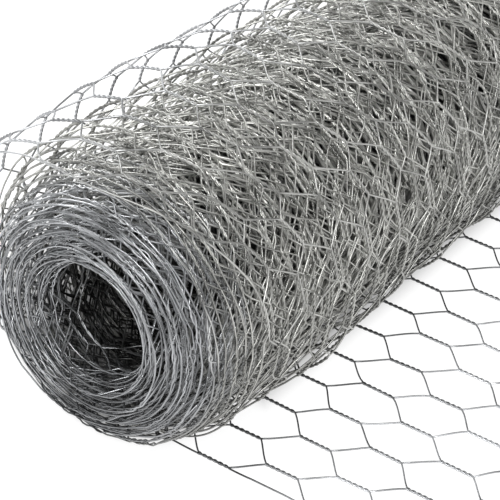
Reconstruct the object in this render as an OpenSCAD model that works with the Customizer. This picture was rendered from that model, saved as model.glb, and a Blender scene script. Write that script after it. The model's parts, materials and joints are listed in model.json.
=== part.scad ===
// Roll of galvanised hexagonal wire netting (chicken wire), lying on its side.
// The wound turns are one turned solid with a bore. The outermost turn stands
// off the roll, and runs out along the floor as a flat tail.
// The roll's axis is X, the tail runs towards -Y, and the origin is the middle
// of the bore.

/* [Netting] */
// Width of the netting from selvedge to selvedge, a whole number of meshes
net_w = 600; // [300:25:900]
// Mesh size: distance between neighbouring twists, across the netting
mesh = 25; // [20:1:30]
// Distance from one row of twists to the next, along the netting
row_step = 28; // [24:1:36]
// Length of one twist, along the netting
twist_len = 17; // [10:1:20]
// Diameter of one wire
wire_d = 0.8; // [0.6:0.1:1.2]

/* [Roll] */
// Radius of the open bore
bore_r = 25; // [15:1:40]
// Outer radius of the tightly wound turns
roll_r = 67; // [55:1:90]
// Number of wound turns
turns = 32; // [16:1:40]
// How far the innermost turn stands out past the outermost one at the near end
dome_rise = 32; // [0:1:50]
// Depth of the groove between two turns at the ends
groove_d = 1.2; // [0.4:0.1:2]

/* [Loose turn and tail] */
// How far the loose turn's circle stands up and back from the roll's own
loose_gap = 7; // [4:1:12]
// Half meshes that the loose turn has slid towards the near end, at its back
slide_steps = 3; // [0:1:4]
// Length of the flat tail, from where it leaves the floor to its cut end
tail_len = 191.5; // [150:0.5:260]
// Distance from the roll's axis to the nearest row of twists in the tail
first_row = 44.5; // [30:0.5:60]

/* [Hidden] */

// Smoothness of the turned shapes
$fn = 96;
// A twisted pair is two wires thick, and the bars of the netting are that deep
pair_d = 2 * wire_d;
// The floor is one layer of netting below the wound turns
floor_z = -(roll_r + pair_d);
// Thickness of one wound turn
turn_t = (roll_r - bore_r) / turns;
// Power of the dome's curve: high values give a flat face with a round shoulder
dome_power = 5;
// The outermost turn, the loose turn and the tail start here along X
near_x = -net_w / 2 + dome_rise;
// Meshes across the netting
columns = net_w / mesh;
// Outer radius of the loose turn: it touches the floor below and the roll in front
loose_r = roll_r + pair_d + loose_gap;
// Radius at which the loose turn's meshes keep their length
loose_mid_r = loose_r - pair_d / 2;
// Angle of one millimetre along the loose turn, in degrees
loose_deg = 180 / (PI * loose_mid_r);
// Length of the slanting wires, along the netting
slant = row_step - twist_len;
// The loose turn is three quarters of a turn, in equal stretches
stretches = 6;
stretch_angle = 270 / stretches;
// Half meshes that each stretch has slid: little at the tail and where it meets the roll
slides = [
    for (i = [1 : stretches]) min(i, slide_steps, i == stretches ? 1 : slide_steps)
];
// Overlap of a cutting tool past the faces it cuts
past = 3;

zinc = [0.62, 0.63, 0.64];
dark_zinc = [0.46, 0.47, 0.48];

// Turns a shape made around Z so that its axis is X
module along_x() {
    rotate([90, 0, 90]) children();
}

// How far the end of a turn at radius r lies behind the innermost turn's end
function set_back(r) = dome_rise * pow((r - bore_r) / (roll_r - bore_r), dome_power);

// One end of the winding: a crest for each turn and a groove between turns
function end_points(end_x, depth) = [
    for (i = [0 : turns - 1])
        let (inner = bore_r + i * turn_t, crest = inner + turn_t / 2)
        each [
            if (i > 0) [inner, end_x + set_back(inner) + depth],
            [crest, end_x + set_back(crest)]
        ]
];

// Half section of the winding, as [radius, x]; every turn is net_w long
function roll_section() = let (
    near_end = end_points(-net_w / 2, groove_d),
    far_end = end_points(net_w / 2, -groove_d)
) concat(
    [[bore_r, -net_w / 2]], near_end, [[roll_r, near_x]],
    [[roll_r, near_x + net_w]], [for (i = [len(far_end) - 1 : -1 : 0]) far_end[i]],
    [[bore_r, net_w / 2]]
);

// The tightly wound turns, as one turned solid
module wound_roll() {
    color(dark_zinc)
        along_x() rotate_extrude() polygon(roll_section());
}

// Corners of one mesh opening, as [across, along] the netting; side is 0 for a
// whole opening, -1 or 1 for the half that is left beside a selvedge
function opening_points(side) = let (
    half_w = mesh / 2 - wire_d,
    slant_len = norm([mesh / 2, slant]),
    tip = twist_len / 2 + slant - wire_d / 2 * slant_len / (mesh / 2),
    shoulder = tip - half_w * slant / (mesh / 2),
    edge = tip - wire_d * slant / (mesh / 2)
) side == 0
    ? [[half_w, shoulder], [0, tip], [-half_w, shoulder],
       [-half_w, -shoulder], [0, -tip], [half_w, -shoulder]]
    : [[side * wire_d, edge], [side * half_w, shoulder],
       [side * half_w, -shoulder], [side * wire_d, -edge]];

// One mesh opening, laid on a curve of radius bend_r, or flat where that is 0
module opening(side, bend_r = 0) {
    polygon([
        for (p = opening_points(side))
            [p[0], bend_r > 0 ? bend_r * sin(p[1] * 180 / (PI * bend_r)) : p[1]]
    ]);
}

// Distance of a row of openings from the loose turn's lowest line, towards the tail
function row_at(row) = first_row + loose_gap + row * row_step;

// Repeats the children across one row; $side tells a half opening at a selvedge,
// and slid is how many half meshes the netting has slid towards the near end
module across(row, slid = 0) {
    shifted = (row + slid) % 2 != 0;
    for (i = [0 : columns - (shifted ? 0 : 1)]) {
        $side = !shifted ? 0 : i == 0 ? 1 : i == columns ? -1 : 0;
        $x = near_x + (i + (shifted ? 0 : 0.5) - slid / 2) * mesh;
        children();
    }
}

// Rows of openings that lie within a stretch of netting
function rows_between(from, to) = [
    for (row = [ceil((from - first_row - loose_gap) / row_step - 0.7)
              : floor((to - first_row - loose_gap) / row_step + 0.7)]) row
];

// The flat stretch of netting on the floor, cut through the last row of twists
module flat_tail() {
    color(zinc)
        translate([0, 0, floor_z]) linear_extrude(pair_d) difference() {
            translate([near_x, loose_gap - tail_len]) square([net_w, tail_len]);
            for (row = rows_between(0, tail_len))
                across(row) translate([$x, loose_gap - row_at(row)]) opening($side);
        }
}

// A stretch of the loose turn between two angles about its own axis, where
// -90 is its lowest line, 0 the back, 90 the top and 180 the front
module loose_turn(from, to, slid) {
    color(zinc)
        along_x() translate([loose_gap, loose_gap, 0]) difference() {
            rotate([0, 0, from]) rotate_extrude(angle = to - from)
                translate([loose_r - pair_d, near_x - slid * mesh / 2])
                    square([pair_d, net_w]);
            for (row = rows_between(-(to + 90) / loose_deg, -(from + 90) / loose_deg))
                rotate([0, 0, -90 - row_at(row) * loose_deg])
                    across(row, slid) translate([loose_r + past, 0, $x]) rotate([0, -90, 0])
                        linear_extrude(pair_d + 2 * past) opening($side, loose_mid_r);
        }
}

wound_roll();
flat_tail();
for (i = [1 : stretches])
    loose_turn(-90 + (i - 1) * stretch_angle, -90 + i * stretch_angle, slides[i - 1]);
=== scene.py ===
"""A roll of galvanised chicken wire, lying on its side on a pale floor.

The netting is drawn as it is made: fifty wires run along its length and are twisted
with their left and right neighbours by turns. The wires are laid out flat, then the
whole sheet is wound up along one path: flat tail, loose outer turn, wound turns.
"""
import json
import math

import bpy
import numpy as np
from mathutils import Matrix, Vector


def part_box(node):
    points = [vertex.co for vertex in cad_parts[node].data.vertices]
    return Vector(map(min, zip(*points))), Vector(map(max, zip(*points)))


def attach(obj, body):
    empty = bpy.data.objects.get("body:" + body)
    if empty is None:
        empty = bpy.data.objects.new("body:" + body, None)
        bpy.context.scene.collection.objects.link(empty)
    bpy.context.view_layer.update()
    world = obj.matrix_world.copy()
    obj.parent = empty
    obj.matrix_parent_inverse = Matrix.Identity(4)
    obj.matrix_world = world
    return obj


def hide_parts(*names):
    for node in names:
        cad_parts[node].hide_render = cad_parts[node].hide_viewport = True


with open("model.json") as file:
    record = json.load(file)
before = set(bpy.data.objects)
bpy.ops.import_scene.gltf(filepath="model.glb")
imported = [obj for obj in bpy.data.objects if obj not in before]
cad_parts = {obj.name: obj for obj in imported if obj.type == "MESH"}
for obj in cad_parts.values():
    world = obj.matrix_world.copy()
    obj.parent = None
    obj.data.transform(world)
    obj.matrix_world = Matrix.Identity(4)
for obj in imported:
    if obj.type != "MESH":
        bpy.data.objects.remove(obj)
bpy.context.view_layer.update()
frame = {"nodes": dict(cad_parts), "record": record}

MM = 0.001
rng = np.random.default_rng(644)

# ---------------------------------------------------------------- sizes, from the frame
MOUNTS = {m["name"]: m for m in frame["record"]["mounts"]}
LOOSE_NODES = sorted(n for n in frame["nodes"] if n.startswith("loose_turn"))

tail_low, tail_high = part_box("flat_tail")
roll_low, roll_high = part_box("wound_roll")
FLOOR_Z = tail_low.z
PAIR_D = tail_high.z - tail_low.z
WIRE_R = PAIR_D / 4
EDGE_X = tail_low.x
NET_W = tail_high.x - tail_low.x
TAIL_LEN = tail_high.y - tail_low.y
LIFT_Y = tail_high.y
ROLL_R = roll_high.z
BORE_R = MOUNTS["bore"]["dims"]["r_mm"] * MM
DOME_RISE = EDGE_X - roll_low.x
LOOSE_TOP = max(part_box(n)[1].z for n in LOOSE_NODES)

# ---------------------------------------------------------------- the netting
MESH = 25 * MM
ROW_STEP = 28 * MM
TWIST_LEN = 17 * MM
COLUMNS = round(NET_W / MESH)
# Wires are numbered across: the near selvedge is -1 and the far one is 2 * COLUMNS
FIRST_WIRE, LAST_WIRE = -1, 2 * COLUMNS
END_WIRE = LAST_WIRE + 1
WIRES = END_WIRE - FIRST_WIRE

# ---------------------------------------------------------------- the winding path
TURNS = 32
LOOSE_R = (LOOSE_TOP - FLOOR_Z) / 2 - PAIR_D / 2
LOOSE_Z = FLOOR_Z + PAIR_D / 2 + LOOSE_R
LOOSE_LEN = 1.5 * math.pi * LOOSE_R
OUTER_R = ROLL_R - PAIR_D / 2
INNER_R = BORE_R + PAIR_D / 2
TURN_PITCH = (OUTER_R - INNER_R) / TURNS
WOUND_LEN = math.pi * (OUTER_R + INNER_R) * TURNS
ROWS = int((TAIL_LEN + LOOSE_LEN + WOUND_LEN) / ROW_STEP)
# The loose turn ends in front, a little outside the first wound turn, and eases into it
MERGE_R = math.hypot(LIFT_Y - LOOSE_R, LOOSE_Z)
MERGE_ANGLE = math.atan2(LOOSE_Z, LIFT_Y - LOOSE_R)
MERGE_LEN = 40 * MM
# The first wound turns are slack at the back, where the loose turn stands off
SLACK = 11.5 * MM
SLACK_ANGLE = math.radians(50)
SLACK_NARROWING = 0.9
SLACK_FADE = 0.38
# The netting stands out at the near end as a dome, and steps back again next to the bore
DOME_POWER = 5
FUNNEL_DEPTH, FUNNEL_WIDTH = 10 * MM, 5.5 * MM


def wound_angle(along):
    """Angle turned after a length along the wound part."""
    rest = OUTER_R**2 - along * TURN_PITCH / math.pi
    return (OUTER_R - np.sqrt(np.maximum(rest, 0))) * 2 * math.pi / TURN_PITCH


def wound_radius(along):
    """Radius after a length along the wound part, without the easing at its start."""
    return OUTER_R - TURN_PITCH * wound_angle(along) / (2 * math.pi)


def turns_deep(s):
    """How many wound turns lie outside a place: 0 on the loose turn, TURNS at the bore."""
    return wound_angle(np.clip(s - LOOSE_LEN, 0, WOUND_LEN)) / (2 * math.pi)


def angle_from(angle, centre):
    """Angle measured from a centre, between -pi and pi."""
    return (angle - centre + math.pi) % (2 * math.pi) - math.pi


def slack(angle, turned):
    """How far a wound turn stands proud, at an angle round the roll, after some turning."""
    away = SLACK_NARROWING * angle_from(angle, SLACK_ANGLE)
    window = np.maximum(np.cos(away), 0)
    return SLACK * window**2 * np.exp(-SLACK_FADE * turned / (2 * math.pi))


def path(s):
    """Place (y, z) and outward normal (y, z) at length s, which is 0 where the tail lifts."""
    s = np.asarray(s, float)
    y, z = LIFT_Y + s, np.full_like(s, LOOSE_Z - LOOSE_R)
    ny, nz = np.zeros_like(s), -np.ones_like(s)
    loose = (s >= 0) & (s < LOOSE_LEN)
    angle = -math.pi / 2 + s / LOOSE_R
    ny, nz = np.where(loose, np.cos(angle), ny), np.where(loose, np.sin(angle), nz)
    y = np.where(loose, LIFT_Y + LOOSE_R * ny, y)
    z = np.where(loose, LOOSE_Z + LOOSE_R * nz, z)
    wound = s >= LOOSE_LEN
    along = np.maximum(s - LOOSE_LEN, 0)
    turned = wound_angle(along)
    angle = MERGE_ANGLE + turned
    ease = np.clip(1 - along / MERGE_LEN, 0, 1) ** 2
    radius = wound_radius(along) + (MERGE_R - OUTER_R) * ease + slack(angle, turned)
    ny, nz = np.where(wound, np.cos(angle), ny), np.where(wound, np.sin(angle), nz)
    y, z = np.where(wound, radius * ny, y), np.where(wound, radius * nz, z)
    return y, z, ny, nz


def dome(s):
    """Shift of the netting along the roll, negative towards the near end."""
    radius = wound_radius(np.clip(s - LOOSE_LEN, 0, WOUND_LEN))
    share = np.clip((radius - BORE_R) / (ROLL_R - BORE_R), 0, 1)
    near_bore = np.clip(1 - (radius - INNER_R) / FUNNEL_WIDTH, 0, 1)
    shift = -DOME_RISE * (1 - share**DOME_POWER) + FUNNEL_DEPTH * near_bore**2
    return np.where(s < LOOSE_LEN, 0, shift)


# ---------------------------------------------------------------- unevenness
def waves(count, shortest, longest, seed):
    """A smooth random function of (s, x), about 1 high, as a sum of plane waves."""
    own = np.random.default_rng(seed)
    length = own.uniform(shortest, longest, count)
    heading = own.uniform(0, 2 * math.pi, count)
    phase = own.uniform(0, 2 * math.pi, count)

    def value(s, x):
        total = np.zeros(np.broadcast(s, x).shape)
        for size, turn, start in zip(length, heading, phase):
            k = 2 * math.pi / size
            total += np.sin(k * (s * math.cos(turn) + x * math.sin(turn)) + start)
        return total * math.sqrt(2 / count)

    return value


wander = waves(9, 70 * MM, 260 * MM, 1)
stretch = waves(9, 90 * MM, 300 * MM, 2)
bulge = waves(9, 45 * MM, 200 * MM, 3)
drift = waves(10, 140 * MM, 500 * MM, 4)
shear = waves(10, 160 * MM, 600 * MM, 5)
swell = waves(9, 110 * MM, 420 * MM, 6)

# Heights of the short waves on the wound turns and on the open loose turn: sideways and
# along, then outward
WANDER_WOUND, WANDER_OPEN = 1.6 * MM, 0.9 * MM
BULGE_WOUND, BULGE_OPEN = 0.6 * MM, 1.1 * MM
# Heights of the long waves on the wound turns: sideways, along and outward. Away from the
# edges the INSIDE heights are added.
DRIFT_EDGE, DRIFT_INSIDE = 1.5 * MM, 3.8 * MM
SHEAR = 4 * MM
SWELL_EDGE, SWELL_INSIDE = 0.3 * MM, 0.45 * MM
# Lengths along or across the netting over which they start or fade
EDGE_BAND = 50 * MM
OPEN_EASE = 60 * MM
DEEP_EASE = 300 * MM
BORE_FROM = LOOSE_LEN + WOUND_LEN - 450 * MM
# Share of its looseness that the netting has lost at the innermost turn
TIGHTENING = 0.55

# The loose turn has slid towards the near end, and is pulled forward along its path
SLIDE, SLIDE_START, SLIDE_TOP = 46 * MM, 0, 200 * MM
PULL, PULL_START, PULL_TOP = 10 * MM, 60 * MM, 220 * MM
LANDING = 230 * MM

# The wound turns sag low in front: a bump near the near end, then ripples
SAG, RIPPLE, RIPPLE_LEN = 3.5 * MM, 1.2 * MM, 52 * MM
SAG_X, SAG_HALF = 60 * MM, 40 * MM
SAG_ANGLE, SAG_WINDOW = math.radians(-145), math.radians(43)
SAG_FADE = 0.1


def ramp(value, start, end):
    """Smoothly from 0 at start to 1 at end."""
    t = np.clip((value - start) / (end - start), 0, 1)
    return t * t * (3 - 2 * t)


def looseness(s):
    """1 on the outer wound turns, falling towards the tight inner ones."""
    along = np.clip(s - LOOSE_LEN, 0, WOUND_LEN)
    return np.where(s < LOOSE_LEN, 0, 1 - TIGHTENING * along / WOUND_LEN)


def uneven(s, x):
    """How far the netting is from its ideal place: sideways, along and outward."""
    wound = looseness(s) * ramp(s, LOOSE_LEN, LOOSE_LEN + 2 * MERGE_LEN)
    opened = ramp(s, 0, OPEN_EASE) * (1 - ramp(s, LOOSE_LEN - OPEN_EASE, LOOSE_LEN))
    deep = ramp(s, LOOSE_LEN, LOOSE_LEN + DEEP_EASE)
    free = deep * (1 - ramp(s, BORE_FROM, BORE_FROM + DEEP_EASE))
    inside = ramp(x, 0, EDGE_BAND) * ramp(NET_W - x, 0, EDGE_BAND)
    wandering = WANDER_WOUND * wound + WANDER_OPEN * opened
    bulging = BULGE_WOUND * wound + BULGE_OPEN * opened
    sideways = wandering * wander(s, x)
    sideways += (DRIFT_EDGE + DRIFT_INSIDE * inside) * deep * drift(s, x)
    along = wandering * stretch(s, x) + SHEAR * deep * shear(s, x)
    outward = bulging * bulge(s, x)
    outward += (SWELL_EDGE + SWELL_INSIDE * inside) * free * swell(s, x)
    return sideways, along, outward


def slid(s):
    """How far the loose turn has slid: towards the near end, and along."""
    landing = 1 - ramp(s, LANDING, LOOSE_LEN)
    slide = SLIDE * ramp(s, SLIDE_START, SLIDE_TOP) * landing
    pull = PULL * ramp(s, PULL_START, PULL_TOP) * landing
    return slide, pull


def sag(s, x, angle):
    """How far the wound turns hang out low in front, the outer ones most."""
    away = np.minimum(np.abs(angle_from(angle, SAG_ANGLE)) / SAG_WINDOW, 1)
    window = np.cos(away * math.pi / 2) ** 2
    bump = SAG * np.exp(-(((x - SAG_X) / SAG_HALF) ** 2))
    wave = 1 + np.cos(2 * math.pi * (x - SAG_X) / RIPPLE_LEN)
    size = bump + RIPPLE * wave * ramp(x, 0, SAG_X)
    return np.where(s > LOOSE_LEN, size * window * np.exp(-SAG_FADE * turns_deep(s)), 0)


def place(s, x, lift):
    """Carries points of the flat netting, at (s along, x across, lift outward), onto the roll."""
    sideways, along, outward = uneven(s, x)
    slide, pull = slid(s)
    y, z, ny, nz = path(s + along + pull)
    height = lift + outward + sag(s, x, np.arctan2(nz, ny))
    points = [EDGE_X + x + dome(s) + sideways - slide, y + ny * height, z + nz * height]
    normals = np.stack([np.zeros_like(ny), ny, nz], -1)
    return np.stack(points, -1), normals


# ---------------------------------------------------------------- wires
def jitter(size):
    """Random offsets for every twist of every row."""
    return rng.normal(0, size, (ROWS + 2, COLUMNS + 3))


twist_s, twist_x = jitter(0.7 * MM), jitter(0.7 * MM)
twist_tilt, twist_rise = jitter(0.7 * MM), jitter(0.35 * MM)
twist_pitch = jitter(0.3 * MM)
bow_side = rng.normal(0, 0.9 * MM, (WIRES, ROWS + 2))
bow_out = rng.normal(0, 0.5 * MM, (WIRES, ROWS + 2))
wire_tone = rng.uniform(0, 1, (WIRES, ROWS + 2))


# Unevenness left on the open netting and on the selvedges, where 1 is a wound wire's
OPEN_CALM, SELVEDGE_CALM = 0.35, 0.4
# How much a wire curves out of its twists; the rest of it is straight
CURVED_SHARE = 0.15


def twist_of(wire, row):
    """The twist that a wire is in at a row: its index, its place across, the wire's side of
    it, and whether it is real. In every other row the selvedge wires run alone."""
    at_edges = row % 2 == 1
    index = (wire + 1) // 2 if at_edges else wire // 2
    side = 1 if (wire % 2 == 0) == at_edges else -1
    across = index * MESH if at_edges else (index + 0.5) * MESH
    real = 0 <= across <= NET_W
    return index + 1, min(max(across, 0), NET_W), side, real


def calm(wire, row):
    """How uneven a wire is at a row: 1 when wound, less on open netting and selvedges."""
    size = OPEN_CALM if -TAIL_LEN + row * ROW_STEP < LOOSE_LEN else 1
    return size * (SELVEDGE_CALM if wire in (FIRST_WIRE, LAST_WIRE) else 1)


def bend(start, end, bow, steps):
    """Inner points of a wire between two twists: nearly straight, and slightly bowed."""
    u = (np.arange(1, steps) / steps)[:, None]
    smooth = u * u * (3 - 2 * u)
    lead = np.array([end[0] - start[0], 0, 0])
    curved = start + (end - start) * smooth + lead * (u - smooth)
    straight = start + (end - start) * u
    line = CURVED_SHARE * curved + (1 - CURVED_SHARE) * straight
    return line + bow * 4 * u * (1 - u)


def twisted(wire, row, steps, turns):
    """Flat points (s, x, lift) of a wire through its twist at a row, and the twist's tone."""
    index, across, side, real = twist_of(wire, row)
    centre = -TAIL_LEN + row * ROW_STEP + twist_s[row, index]
    size = calm(wire, row)
    t = np.arange(steps + 1) / steps
    turn = 2 * math.pi * turns * t
    coil = WIRE_R * side if real else 0
    s = centre + (t - 0.5) * TWIST_LEN
    x = across + size * (twist_x[row, index] + twist_tilt[row, index] * (t - 0.5) * 2)
    x = x + coil * np.cos(turn)
    lift = size * (twist_rise[row, index] + twist_pitch[row, index] * (t - 0.5) * 2)
    lift = lift + coil * np.sin(turn)
    return np.stack([s, x, lift], 1), wire_tone[index, row]


def strand(wire, first, last, steps, turns):
    """Flat points and tones of one wire, from one row's twist to the start of another's."""
    twist_steps, slant_steps = steps
    points, tones = [], []
    for row in range(first, last + 1):
        here, tone = twisted(wire, row, twist_steps, turns)
        if points:
            bow = np.array([0, bow_side[wire + 1, row], bow_out[wire + 1, row]])
            bow = calm(wire, row) * bow
            points.append(bend(points[-1][-1], here[0], bow, slant_steps))
            tones.append(np.full(slant_steps - 1, wire_tone[wire + 1, row]))
        if row == last:
            here = here[:1]
        points.append(here)
        tones.append(np.full(len(here), tone))
    return np.concatenate(points), np.concatenate(tones)


def strands(wires, rows, steps, turns):
    """Points (wire, point, 3) and tones (wire, point) of a group of wires."""
    made = [strand(wire, rows[0], rows[1], steps, turns) for wire in wires]
    flat, tone = np.stack([m[0] for m in made]), np.stack([m[1] for m in made])
    if rows[0] == 0:  # the netting is cut through the middle of its first twists
        flat, tone = flat[:, steps[0] // 2:], tone[:, steps[0] // 2:]
    return flat, tone


# ---------------------------------------------------------------- painted shade
# Painted shade and light: the zinc's brightness by place on the object, which stands for shade
# that the wires alone don't give. It is lighter just under the outermost turns and at the bore,
# and darker deeper in, with painted casts of cool and warm light. A shade is the share of light
# taken away. Depths are in turns from the outermost.
COOL, WARM = np.array([0.97, 0.99, 1.02]), np.array([1.0, 1.0, 0.955])
COOL_DEPTH, COOL_SHADE = (3, 8), 0.02
OUTER_GAIN = 1.14
INNER_DEPTH, INNER_GAIN = (0, 8), 0.5
MIDDLE_DEPTH, MIDDLE_SHADE = (13, 24), 0.25
DEEP_DEPTH, DEEP_SHADE = (23, 28), 0.9
BORE_DEPTH, BORE_GAIN = (TURNS - 3.2, TURNS - 1), 0.6
# Painted shade where the loose turn comes down on the roll in front
FIRST_DEPTH, FIRST_SHADE = (0, 0.2), 0.14
# Painted shade on the lower back of the deep turns near the near end, which shows through the bore
BACK_DEPTH, BACK_PLACE, BACK_SHADE = (3, 12), (-5 * MM, 35 * MM), 0.76
# Painted shade on the underside, a little less near the near end
UNDER_DROP, UNDER_SHADE, UNDER_NEAR = (5 * MM, 60 * MM), 0.65, 0.2
# Distances from either edge of the netting, and from its near edge
INSIDE_BAND, FACE_BAND, NEAR_BAND = (5 * MM, 50 * MM), (6 * MM, 30 * MM), (60 * MM, 130 * MM)
# Painted brightness of the open netting, from the tail to where the loose turn comes down on the
# roll, with a little painted shade as the loose turn rises
OPEN_END = (190 * MM, 270 * MM)
OPEN_GAIN, OPEN_COOL = 1.2, 0.9
LOOSE_RISE, LOOSE_SHADE = (0, 100 * MM), 0.1
# Painted shadow of the roll on the netting next to it and under it
LIFT_START, LIFT_END, LIFT_SHADE = (-110 * MM, -60 * MM), (20 * MM, 90 * MM), 0.72


def deep_shade(gain, depth, away):
    """Painted shade on the inside of the roll, away from its end faces."""
    gain = gain * (1 - MIDDLE_SHADE * ramp(depth, *MIDDLE_DEPTH) * away)
    return gain * (1 - DEEP_SHADE * ramp(depth, *DEEP_DEPTH) * away)


def wound_painted_shade(s, x, inside, cool):
    """Painted shade and light on the wound turns: lighter under the outermost ones, dark further
    in.
    """
    depth = turns_deep(s)
    away = ramp(np.minimum(x, NET_W - x), *FACE_BAND)
    near = 1 - ramp(x, *NEAR_BAND)
    y, z = path(s)[:2]
    gain = OUTER_GAIN - COOL_SHADE * cool + INNER_GAIN * ramp(depth, *INNER_DEPTH) * inside
    first = ramp(s, *OPEN_END) * (1 - ramp(depth, *FIRST_DEPTH))
    gain = deep_shade(gain * (1 - FIRST_SHADE * first), depth, away)
    back = near * ramp(y - z, *BACK_PLACE) * ramp(depth, *BACK_DEPTH)
    gain = gain * (1 - BACK_SHADE * back * away)
    gain = gain + (BORE_GAIN - gain) * ramp(depth, *BORE_DEPTH) * away
    return gain * (1 - (UNDER_SHADE - UNDER_NEAR * near) * ramp(-z, *UNDER_DROP))


def painted_shade(s, x):
    """Painted shade and light of the zinc at a place of the flat netting: its brightness, and a
    cooler cast on the end faces of the inner turns and on the open netting."""
    inside = ramp(np.minimum(x, NET_W - x), *INSIDE_BAND)
    cool = (1 - inside) * ramp(turns_deep(s), *COOL_DEPTH)
    gain = wound_painted_shade(s, x, inside, cool)
    opened = 1 - ramp(s, *OPEN_END)
    open_gain = OPEN_GAIN - LOOSE_SHADE * ramp(s, *LOOSE_RISE)
    gain = gain + (open_gain - gain) * opened
    gain = gain * (1 - LIFT_SHADE * ramp(s, *LIFT_START) * (1 - ramp(s, *LIFT_END)))
    cool = cool + (OPEN_COOL - cool) * opened
    return gain[..., None] * (WARM + (COOL - WARM) * cool[..., None])


# ---------------------------------------------------------------- meshes
# Wires are this much wider in the texture map, and kept this far from its edges
UV_WIDEN = 3
UV_MARGIN = 3 * MM


def rings(flat, sides, radius):
    """Tubes round the wires: centres (wire, point, 3), corners' offsets from them
    (wire, point, side, 3)."""
    centre, normal = place(flat[..., 0], flat[..., 1], flat[..., 2])
    tangent = np.gradient(centre, axis=1)
    tangent /= np.linalg.norm(tangent, axis=2, keepdims=True)
    across = np.cross(tangent, normal)
    across /= np.linalg.norm(across, axis=2, keepdims=True)
    out = np.cross(across, tangent)
    angle = math.pi / 2 + 2 * math.pi * np.arange(sides) / sides
    offset = np.cos(angle)[:, None] * across[:, :, None]
    offset = offset + np.sin(angle)[:, None] * out[:, :, None]
    return centre, radius * offset


def tube_faces(wires, steps, sides):
    """Vertex numbers of the side faces (n, 4) and end caps (n, sides) of closed tubes."""
    number = np.arange(wires * steps * sides).reshape(wires, steps, sides)
    here, there = number[:, :-1], number[:, 1:]
    quads = np.stack([here, np.roll(here, -1, 2), np.roll(there, -1, 2), there], -1)
    return quads.reshape(-1, 4), np.concatenate([number[:, 0, ::-1], number[:, -1]])


def flat_map(flat, offset, loops, sides, quad_count, span, strips):
    """Texture places like the flat netting, in strips side by side, with wires widened."""
    s, x = flat[..., 0], flat[..., 1]
    steps = s.shape[1]
    low, high = span
    strip_len = (high - low) / strips
    step = np.tile(np.repeat(np.arange(steps - 1), sides), s.shape[0])
    wire = np.repeat(np.arange(s.shape[0]), (steps - 1) * sides)
    middle = (s[wire, step] + s[wire, step + 1]) / 2
    ends = np.concatenate([s[:, 0], s[:, -1]])
    face_s = np.concatenate([np.repeat(middle, 4), np.repeat(ends, sides)])
    strip = np.clip(((face_s - low) / strip_len).astype(int), 0, strips - 1)
    wide = offset[..., 0] * UV_WIDEN
    tall = np.linalg.norm(offset[..., 1:], axis=-1)
    at_x = (x[..., None] + wide).reshape(-1)[loops]
    at_s = np.broadcast_to(s[..., None], wide.shape).reshape(-1)[loops].copy()
    at_s[quad_count * 4:] += tall.reshape(-1)[loops][quad_count * 4:]
    u = (strip + (at_x + UV_MARGIN) / (NET_W + 2 * UV_MARGIN)) / strips
    v = (at_s - low - strip * strip_len + UV_MARGIN) / (strip_len + 2 * UV_MARGIN)
    return np.stack([u, v], 1)


def tubes(name, groups, sides, strips):
    """One mesh of closed tubes along the wires of several groups."""
    # A tube with few flat sides is drawn wider, so that it covers what a round wire does
    radius = WIRE_R * math.pi / (sides * math.sin(math.pi / sides))
    span = (min(g[0][..., 0].min() for g in groups), max(g[0][..., 0].max() for g in groups))
    verts, loops, sizes, tones, painted_shades, maps = [], [], [], [], [], []
    count = 0
    for flat, tone, widen in groups:
        centre, offset = rings(flat, sides, radius * widen)
        quads, caps = tube_faces(flat.shape[0], flat.shape[1], sides)
        own = np.concatenate([quads.reshape(-1), caps.reshape(-1)])
        colour = painted_shade(flat[..., 0], flat[..., 1]).reshape(-1, 3)
        maps.append(flat_map(flat, offset, own, sides, len(quads), span, strips))
        verts.append((centre[:, :, None] + offset).reshape(-1, 3))
        loops.append(own + count)
        sizes.append(np.concatenate([np.full(len(quads), 4), np.full(len(caps), sides)]))
        tones.append(np.repeat(tone.reshape(-1), sides))
        painted_shades.append(np.repeat(colour, sides, axis=0))
        count += len(verts[-1])
    parts = (verts, loops, sizes, tones, painted_shades, maps)
    return add_mesh(name, *(np.concatenate(part) for part in parts))


def carry(mesh, tones, painted_shades, maps):
    """Puts each wire's tone, its painted shade by place and the texture map on a mesh."""
    attribute = mesh.attributes.new("tone", "FLOAT", "POINT")
    attribute.data.foreach_set("value", tones.astype(np.float32))
    attribute = mesh.attributes.new("painted_shade", "FLOAT_COLOR", "POINT")
    rgba = np.concatenate([painted_shades, np.ones((len(painted_shades), 1))], 1)
    attribute.data.foreach_set("color", rgba.reshape(-1).astype(np.float32))
    layer = mesh.uv_layers.new(name="OFBake")
    layer.uv.foreach_set("vector", maps.reshape(-1).astype(np.float32))


def add_mesh(name, verts, loops, sizes, tones, painted_shades, maps):
    """A Blender object from corners, each face's corner numbers and each face's size."""
    mesh = bpy.data.meshes.new(name)
    mesh.vertices.add(len(verts))
    mesh.vertices.foreach_set("co", verts.reshape(-1).astype(np.float32))
    mesh.loops.add(len(loops))
    mesh.loops.foreach_set("vertex_index", loops.astype(np.int32))
    mesh.polygons.add(len(sizes))
    starts = np.concatenate([[0], np.cumsum(sizes)[:-1]])
    mesh.polygons.foreach_set("loop_start", starts.astype(np.int32))
    mesh.polygons.foreach_set("use_smooth", np.ones(len(sizes), bool))
    mesh.update(calc_edges=True)
    carry(mesh, tones, painted_shades, maps)
    mesh.validate()
    obj = bpy.data.objects.new(name, mesh)
    bpy.context.scene.collection.objects.link(obj)
    return obj


# ---------------------------------------------------------------- materials
CLOUD_SCALE, CLOUD_DETAIL = 90, 3
CLOUD_RANGE = (0.35, 0.65)
TONE_SHARE = 0.6
DARK_AT, LIGHT_AT = 0.45, 1.0


def attribute_node(nodes, name):
    """Node that reads a value which the mesh carries."""
    node = nodes.new("ShaderNodeAttribute")
    node.attribute_name = name
    return node


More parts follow.
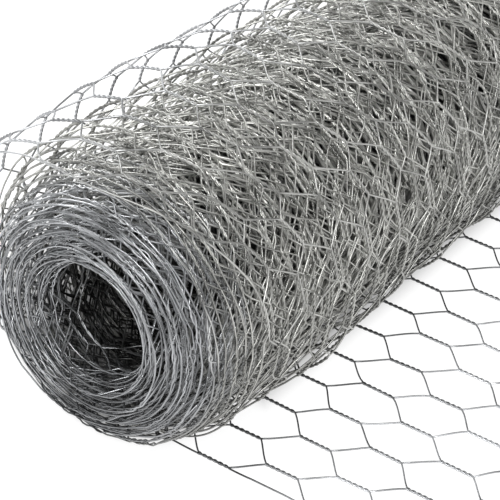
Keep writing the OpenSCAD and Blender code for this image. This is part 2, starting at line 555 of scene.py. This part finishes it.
def cloud_node(nodes, links):
    """Node with the zinc's cloudy pattern, in the object's own space."""
    coords = nodes.new("ShaderNodeTexCoord")
    clouds = nodes.new("ShaderNodeTexNoise")
    clouds.inputs["Scale"].default_value = CLOUD_SCALE
    clouds.inputs["Detail"].default_value = CLOUD_DETAIL
    links.new(coords.outputs["Object"], clouds.inputs["Vector"])
    return clouds


def grey_by_tone(nodes, links, clouds, dark, light):
    """Output with the zinc's grey, from the clouds and each wire's own tone."""
    tone = attribute_node(nodes, "tone")
    blend = nodes.new("ShaderNodeMath")
    blend.operation = "MULTIPLY_ADD"
    blend.inputs[1].default_value = TONE_SHARE
    links.new(tone.outputs["Fac"], blend.inputs[0])
    links.new(clouds.outputs["Fac"], blend.inputs[2])
    colour = nodes.new("ShaderNodeValToRGB")
    low, high = colour.color_ramp.elements
    low.position, high.position = DARK_AT, LIGHT_AT
    low.color, high.color = (*dark, 1), (*light, 1)
    links.new(blend.outputs[0], colour.inputs[0])
    return colour.outputs[0]


def times_painted_shade(nodes, links, colour):
    """Output with a colour multiplied by the painted shade that the mesh carries."""
    mix = nodes.new("ShaderNodeMix")
    mix.data_type = "RGBA"
    mix.blend_type = "MULTIPLY"
    mix.inputs["Factor"].default_value = 1
    links.new(colour, mix.inputs["A"])
    links.new(attribute_node(nodes, "painted_shade").outputs["Color"], mix.inputs["B"])
    return mix.outputs["Result"]


def zinc(name, dark, light, roughness, metallic):
    """Galvanised wire: cloudy grey zinc, each wire a little different, with duller spots and the
    painted shade that the mesh carries.
    """
    material = bpy.data.materials.new(name)
    material.use_nodes = True
    nodes, links = material.node_tree.nodes, material.node_tree.links
    shader = nodes["Principled BSDF"]
    shader.inputs["Metallic"].default_value = metallic
    clouds = cloud_node(nodes, links)
    grey = grey_by_tone(nodes, links, clouds, dark, light)
    links.new(times_painted_shade(nodes, links, grey), shader.inputs["Base Color"])
    rough = nodes.new("ShaderNodeMapRange")
    rough.inputs["From Min"].default_value, rough.inputs["From Max"].default_value = CLOUD_RANGE
    rough.inputs["To Min"].default_value, rough.inputs["To Max"].default_value = roughness
    links.new(clouds.outputs["Fac"], rough.inputs["Value"])
    links.new(rough.outputs[0], shader.inputs["Roughness"])
    return material


open_zinc = zinc("open_zinc", (0.27, 0.27, 0.272), (0.54, 0.54, 0.545), (0.28, 0.45), 0.8)
wound_zinc = zinc("wound_zinc", (0.24, 0.24, 0.24), (0.50, 0.50, 0.50), (0.22, 0.4), 0.9)
# A darker zinc, whose darkness is painted shade, for the two stray wire ends
shaded_zinc = zinc("shaded_zinc", (0.07, 0.07, 0.07), (0.2, 0.2, 0.2), (0.3, 0.45), 0.8)


# ---------------------------------------------------------------- pieces
def row_after(turn):
    """The first row that lies past a number of wound turns."""
    length = 2 * math.pi * OUTER_R * turn - math.pi * TURN_PITCH * turn**2
    return min(math.ceil((TAIL_LEN + LOOSE_LEN + length) / ROW_STEP), ROWS)


LIFT_ROW = round(TAIL_LEN / ROW_STEP)
ROW_AT = {turn: row_after(turn) for turn in (0, 1, 2, 5, 8, 12, 27, 31)}
ALL_WIRES = range(FIRST_WIRE, END_WIRE)


def add_piece(piece, finish, nodes):
    """Gives a piece its finish, hangs it on the root body, and hides the CAD parts that it stands
    in for.
    """
    piece.data.materials.append(finish)
    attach(piece, "root")
    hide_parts(*nodes)


def netting(name, rows, detail, sides, finish, nodes=("wound_roll",), strips=1):
    """A stretch of netting. Each line of detail is for some of the wires: the wires, the steps
    along a twist and a slant, the turns that a twist is drawn with, and a widening."""
    groups = [(*strands(wires, rows, steps, turns), widen) for wires, steps, turns, widen in detail]
    add_piece(tubes(name, groups, sides, strips), finish, nodes)


netting("netting_tail", (0, LIFT_ROW), [
    (ALL_WIRES, (20, 5), 3, 1),
], 5, open_zinc, ["flat_tail"])
netting("netting_loose_turn", (LIFT_ROW, ROW_AT[0]), [
    (ALL_WIRES, (16, 4), 3, 1),
], 5, open_zinc, LOOSE_NODES)
netting("netting_turn_01", (ROW_AT[0], ROW_AT[1]), [
    (ALL_WIRES, (14, 3), 3, 0.97),
], 4, wound_zinc)
netting("netting_turn_02", (ROW_AT[1], ROW_AT[2]), [
    (ALL_WIRES, (14, 3), 3, 0.97),
], 4, wound_zinc)
netting("netting_turns_03_05", (ROW_AT[2], ROW_AT[5]), [
    (ALL_WIRES, (12, 2), 3, 0.97),
], 3, wound_zinc, strips=2)
netting("netting_turns_06_08", (ROW_AT[5], ROW_AT[8]), [
    (range(FIRST_WIRE, 3), (12, 2), 3, 0.92),
    (range(3, END_WIRE), (8, 2), 2, 1),
], 3, wound_zinc, strips=2)
netting("netting_turns_09_12", (ROW_AT[8], ROW_AT[12]), [
    (range(FIRST_WIRE, 5), (8, 2), 2, 0.92),
    (range(5, END_WIRE), (2, 2), 0, 1.2),
], 3, wound_zinc, strips=2)
netting("netting_turns_13_27", (ROW_AT[12], ROW_AT[27]), [
    (range(FIRST_WIRE, 1), (8, 2), 2, 0.92),
    (range(1, 7), (4, 2), 1, 1.15),
    (range(END_WIRE - 4, END_WIRE), (2, 2), 0, 1.1),
    (range(7, END_WIRE - 4), (1, 1), 0, 1.7),
], 3, wound_zinc, strips=3)
netting("netting_turns_28_31", (ROW_AT[27], ROW_AT[31]), [
    (range(FIRST_WIRE, 5), (8, 2), 2, 0.95),
    (range(5, END_WIRE), (2, 2), 0, 1.7),
], 3, wound_zinc)
netting("netting_turn_32", (ROW_AT[31], ROWS), [
    (ALL_WIRES, (8, 2), 2, 0.95),
], 3, wound_zinc)

# Two cut wire ends that stick out of the innermost turn. Each has the angle before the
# netting's end in radians, then in mm: its distance from the near edge at its start and its
# end, its reach inward, and its run along the netting
LOOSE_ENDS = ((4.15, -8, -2, 10, 9), (4.1, -7, 3, 6, 11))
END_POINTS = 9
END_TONE = 0.2


def loose_end(angle, x_from, x_to, reach, run):
    """Flat points and tone of one stray wire, which bends away from the netting."""
    t = np.linspace(0, 1, END_POINTS)
    s = LOOSE_LEN + WOUND_LEN - angle * INNER_R + run * MM * t
    x = (x_from + (x_to - x_from) * t) * MM
    lift = -reach * MM * t * (2 - t)
    return np.stack([s, x, lift], 1), np.full(END_POINTS, END_TONE)


ends = [loose_end(*end) for end in LOOSE_ENDS]
end_group = (np.stack([end[0] for end in ends]), np.stack([end[1] for end in ends]), 1)
add_piece(tubes("netting_wire_ends", [end_group], 5, 1), shaded_zinc, ["wound_roll"])

# ---------------------------------------------------------------- stage
FLOOR_SIZE, FLOOR_GAP = 12.0, 0.2 * MM
FLOOR_ROUGHNESS, FLOOR_SPECULAR = 0.9, 0.1
FLOOR_GLOW = 0.9
# The floor's grey in its painted shadow, and elsewhere
FLOOR_PAINTED_SHADOW, FLOOR_PALE = 0.12, 0.26
# Painted shadow: under and behind the roll the floor doesn't glow and is darker: a straight
# strip, whose four soft edges run from dark to clear, and an ellipse that makes it longer at the
# near end
SHADE_NEAR = (-200 * MM, -228 * MM)
SHADE_FAR = (230 * MM, 350 * MM)
SHADE_FRONT = (-17 * MM, -45 * MM)
SHADE_BACK = (60 * MM, 150 * MM)
ELLIPSE_AT = (-165.6 * MM, 82.3 * MM)
ELLIPSE_HALF = (146 * MM, 69.6 * MM)
ELLIPSE_TURN = math.radians(42.8)
ELLIPSE_SOFT = (0.86, 1.03)


def fade(nodes, links, value, edge):
    """Node output that goes smoothly from 0 to 1 between the two ends of a soft edge."""
    rise = nodes.new("ShaderNodeMapRange")
    rise.interpolation_type = "SMOOTHSTEP"
    rise.inputs["From Min"].default_value, rise.inputs["From Max"].default_value = edge
    links.new(value, rise.inputs["Value"])
    return rise.outputs[0]


def either(nodes, links, operation, first, second):
    """Node output that is the MINIMUM or the MAXIMUM of two others."""
    node = nodes.new("ShaderNodeMath")
    node.operation = operation
    links.new(first, node.inputs[0])
    links.new(second, node.inputs[1])
    return node.outputs[0]


def ellipse(nodes, links, at):
    """Node output that is 0 inside the ellipse, and rises to 1 over its soft edge."""
    inward = nodes.new("ShaderNodeMapping")
    inward.vector_type = "TEXTURE"
    inward.inputs["Location"].default_value = (*ELLIPSE_AT, FLOOR_Z)
    inward.inputs["Rotation"].default_value = (0, 0, ELLIPSE_TURN)
    inward.inputs["Scale"].default_value = (*ELLIPSE_HALF, 1)
    links.new(at, inward.inputs["Vector"])
    size = nodes.new("ShaderNodeVectorMath")
    size.operation = "LENGTH"
    links.new(inward.outputs[0], size.inputs[0])
    return fade(nodes, links, size.outputs["Value"], ELLIPSE_SOFT)


def outside_painted_shadow(nodes, links):
    """Node output, the mask of the floor's painted shadow: 0 under and behind the roll and 1 on the
    rest of the floor.
    """
    at = nodes.new("ShaderNodeTexCoord").outputs["Object"]
    split = nodes.new("ShaderNodeSeparateXYZ")
    links.new(at, split.inputs[0])
    along, across = split.outputs["X"], split.outputs["Y"]
    near = fade(nodes, links, along, SHADE_NEAR)
    near = either(nodes, links, "MINIMUM", near, ellipse(nodes, links, at))
    far = fade(nodes, links, along, SHADE_FAR)
    front = fade(nodes, links, across, SHADE_FRONT)
    back = fade(nodes, links, across, SHADE_BACK)
    ends = either(nodes, links, "MAXIMUM", near, far)
    sides = either(nodes, links, "MAXIMUM", front, back)
    return either(nodes, links, "MAXIMUM", ends, sides)


def floor_material():
    """Matt and pale, with a glow that keeps the floor white, except in a painted shadow under and
    behind the roll, which is darker.
    """
    material = bpy.data.materials.new("pale_floor")
    material.use_nodes = True
    nodes, links = material.node_tree.nodes, material.node_tree.links
    shader = nodes["Principled BSDF"]
    shader.inputs["Roughness"].default_value = FLOOR_ROUGHNESS
    shader.inputs["Specular IOR Level"].default_value = FLOOR_SPECULAR
    shader.inputs["Emission Color"].default_value = (1, 1, 1, 1)
    clear = outside_painted_shadow(nodes, links)
    glow = nodes.new("ShaderNodeMath")
    glow.operation = "MULTIPLY"
    glow.inputs[1].default_value = FLOOR_GLOW
    links.new(clear, glow.inputs[0])
    links.new(glow.outputs[0], shader.inputs["Emission Strength"])
    grey = nodes.new("ShaderNodeMapRange")
    grey.inputs["To Min"].default_value = FLOOR_PAINTED_SHADOW
    grey.inputs["To Max"].default_value = FLOOR_PALE
    links.new(clear, grey.inputs["Value"])
    links.new(grey.outputs[0], shader.inputs["Base Color"])
    return material


def stage_floor():
    """A pale floor, just under the netting, with a painted shadow under and behind the roll."""
    mesh = bpy.data.meshes.new("floor")
    half = FLOOR_SIZE / 2
    z = FLOOR_Z - FLOOR_GAP
    corners = [(-half, -half, z), (half, -half, z), (half, half, z), (-half, half, z)]
    mesh.from_pydata(corners, [], [(0, 1, 2, 3)])
    floor = bpy.data.objects.new("floor", mesh)
    bpy.context.scene.collection.objects.link(floor)
    mesh.materials.append(floor_material())


def area_light(name, place_at, size, power):
    """A soft square light that faces the origin, inside the roll."""
    data = bpy.data.lights.new(name, "AREA")
    data.size = size
    data.energy = power
    light = bpy.data.objects.new(name, data)
    light.location = place_at
    light.rotation_euler = (-Vector(place_at)).to_track_quat("-Z", "Y").to_euler()
    bpy.context.scene.collection.objects.link(light)


# Brightness of the surroundings by height: low, a little above, and overhead
SKY = ((0.0, 0.85), (0.2, 0.3), (1.0, 0.75))


def light_sky(tree):
    """A studio's surroundings: pale low down, dim at the sides and pale overhead."""
    coords = tree.nodes.new("ShaderNodeTexCoord")
    height = tree.nodes.new("ShaderNodeSeparateXYZ")
    tree.links.new(coords.outputs["Generated"], height.inputs[0])
    sky = tree.nodes.new("ShaderNodeValToRGB")
    sky.color_ramp.elements.new(SKY[1][0])
    for stop, (position, grey) in zip(sky.color_ramp.elements, SKY):
        stop.position = position
        stop.color = (grey, grey, grey, 1)
    tree.links.new(height.outputs["Z"], sky.inputs[0])
    tree.links.new(sky.outputs[0], tree.nodes["Background"].inputs["Color"])


stage_floor()
world = bpy.data.worlds.new("studio")
world.use_nodes = True
light_sky(world.node_tree)
bpy.context.scene.world = world
area_light("key", (-1.9, -1.05, 2.1), size=1.5, power=62)
area_light("back", (0.3, 1.9, 1.8), size=1.2, power=25)
bpy.context.scene.view_settings.view_transform = "Standard"

# ---------------------------------------------------------------- camera
AZIMUTH, ELEVATION, ROLL = math.radians(-56.56), math.radians(33.22), math.radians(3.82)
TARGET = Vector((-205 * MM, -14.4 * MM, -4 * MM))
DISTANCE = 930 * MM
LENS, SENSOR = 151.9, 36
CLIP_START = 50 * MM


def add_camera():
    """The camera, looking down along the roll from its near end."""
    back = Vector((
        math.sin(AZIMUTH) * math.cos(ELEVATION),
        -math.cos(AZIMUTH) * math.cos(ELEVATION),
        math.sin(ELEVATION),
    ))
    level = (-back).cross(Vector((0, 0, 1))).normalized()
    upright = level.cross(-back)
    right = math.cos(ROLL) * level + math.sin(ROLL) * upright
    up = math.cos(ROLL) * upright - math.sin(ROLL) * level
    data = bpy.data.cameras.new("camera")
    data.lens, data.sensor_width = LENS, SENSOR
    data.clip_start = CLIP_START
    camera = bpy.data.objects.new("camera", data)
    turn = Matrix((right, up, back)).transposed().to_4x4()
    camera.matrix_world = Matrix.Translation(TARGET + back * DISTANCE) @ turn
    bpy.context.scene.collection.objects.link(camera)
    bpy.context.scene.camera = camera


add_camera()
